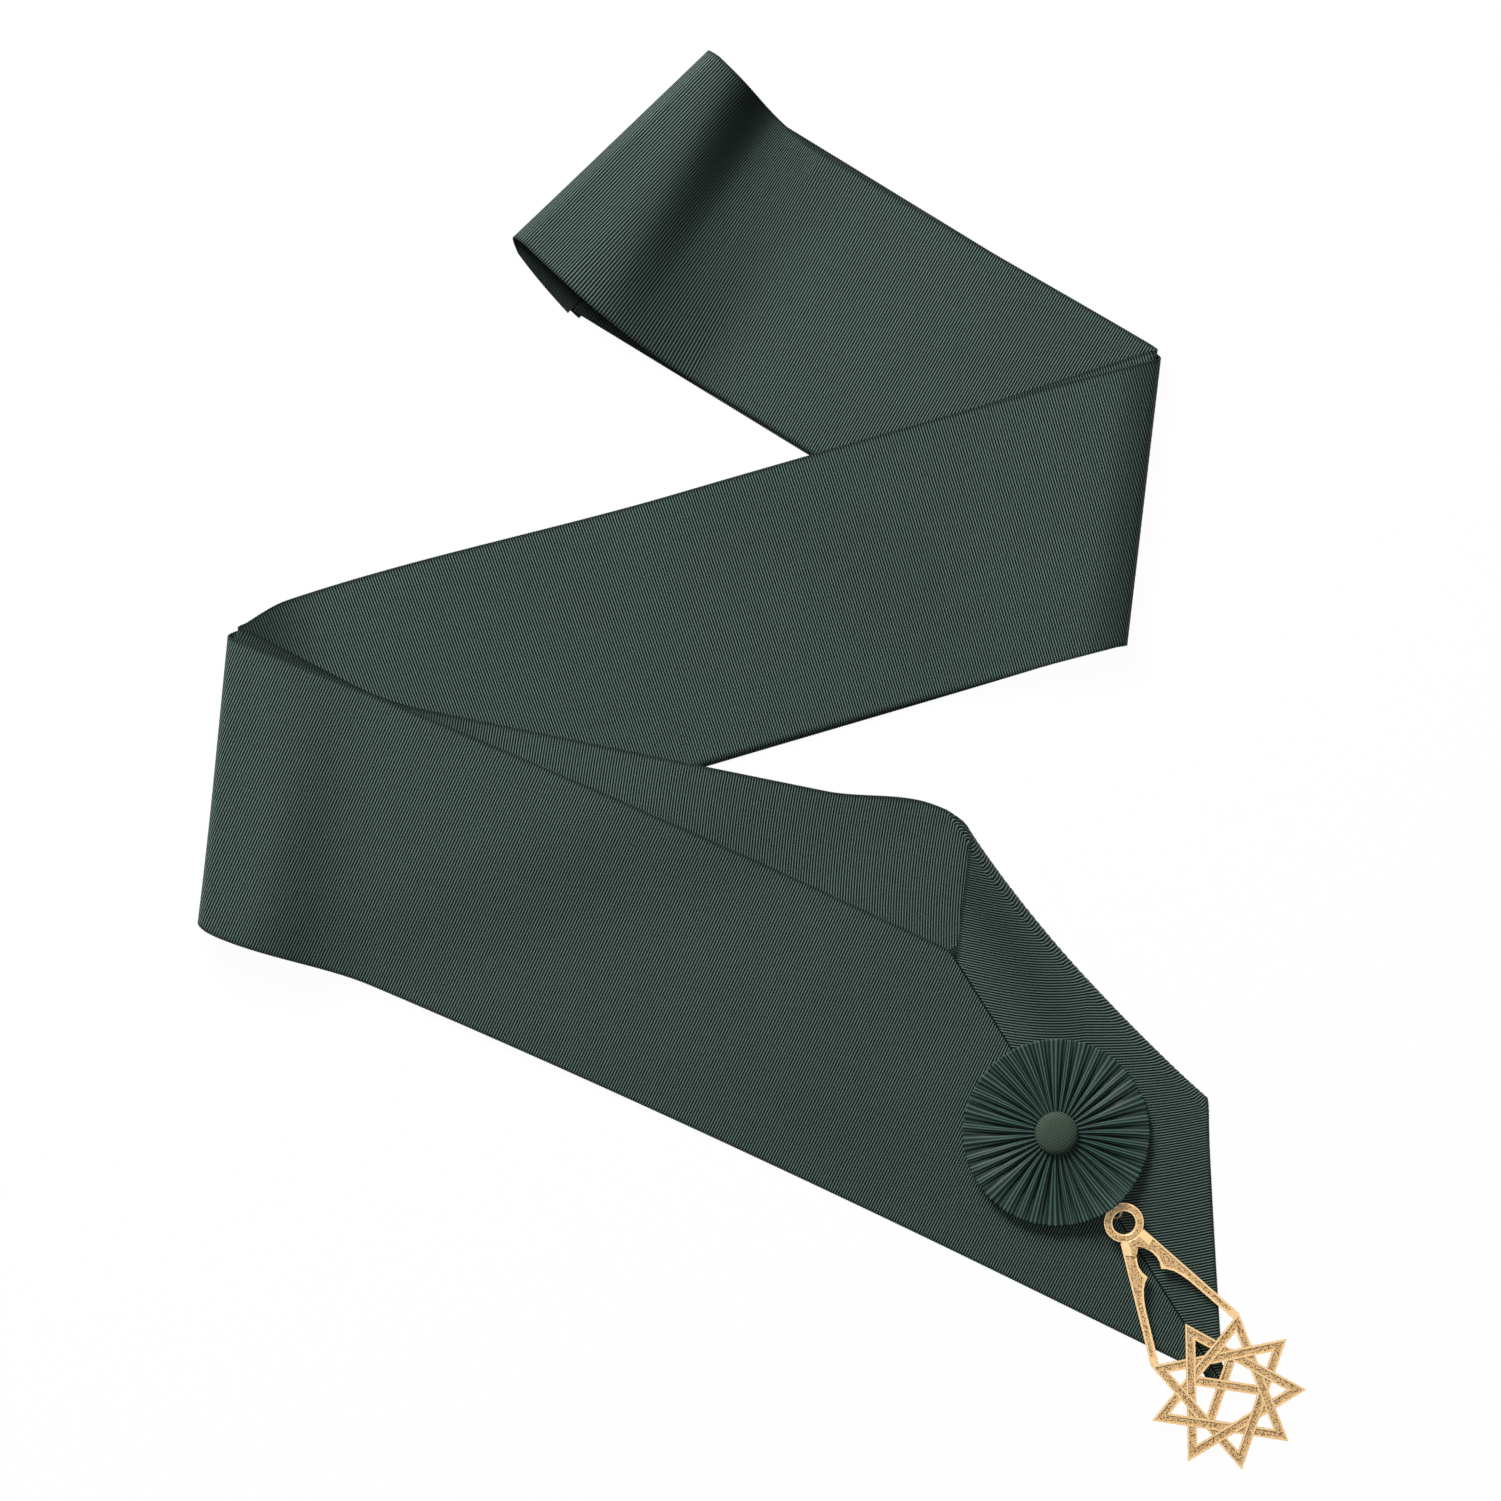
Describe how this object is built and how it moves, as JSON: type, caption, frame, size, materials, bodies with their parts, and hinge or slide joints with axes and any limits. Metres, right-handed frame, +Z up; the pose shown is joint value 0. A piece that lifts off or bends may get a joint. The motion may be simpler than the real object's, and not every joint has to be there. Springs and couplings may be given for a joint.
{
  "type": "sash of an order",
  "caption": "Broad ribbed sash laid flat in folds, with a mitred hip point, a pleated rosette with a covered button, and a pierced interlaced star jewel hung from open compasses.",
  "frame": {"origin": "middle of the laid sash's outline, on the surface that it lies on", "axes": "+Z up from that surface, +Y from the hip point with its jewel towards the shoulder end, +X to the right seen from above"},
  "size_m": [0.413, 0.529, 0.0134],
  "materials": {
    "sash_ribbon": "corded rayon ribbon with fine ribs across, soft sheen",
    "rosette_ribbon": "the same corded ribbon, gathered and pleated",
    "button_cloth": "corded cloth stretched over a domed button",
    "jewel_gilt": "gilt casting with bright borders and matt pitted fields",
    "link_metal": "polished plated wire"
  },
  "bodies": {
    "root": {"front_strap": "sash_ribbon", "back_strap": "sash_ribbon", "rosette": "rosette_ribbon", "rosette_button": "button_cloth", "sewn_eye": "link_metal", "jump_ring": "link_metal", "jewel": "jewel_gilt"}
  },
  "joints": []
}
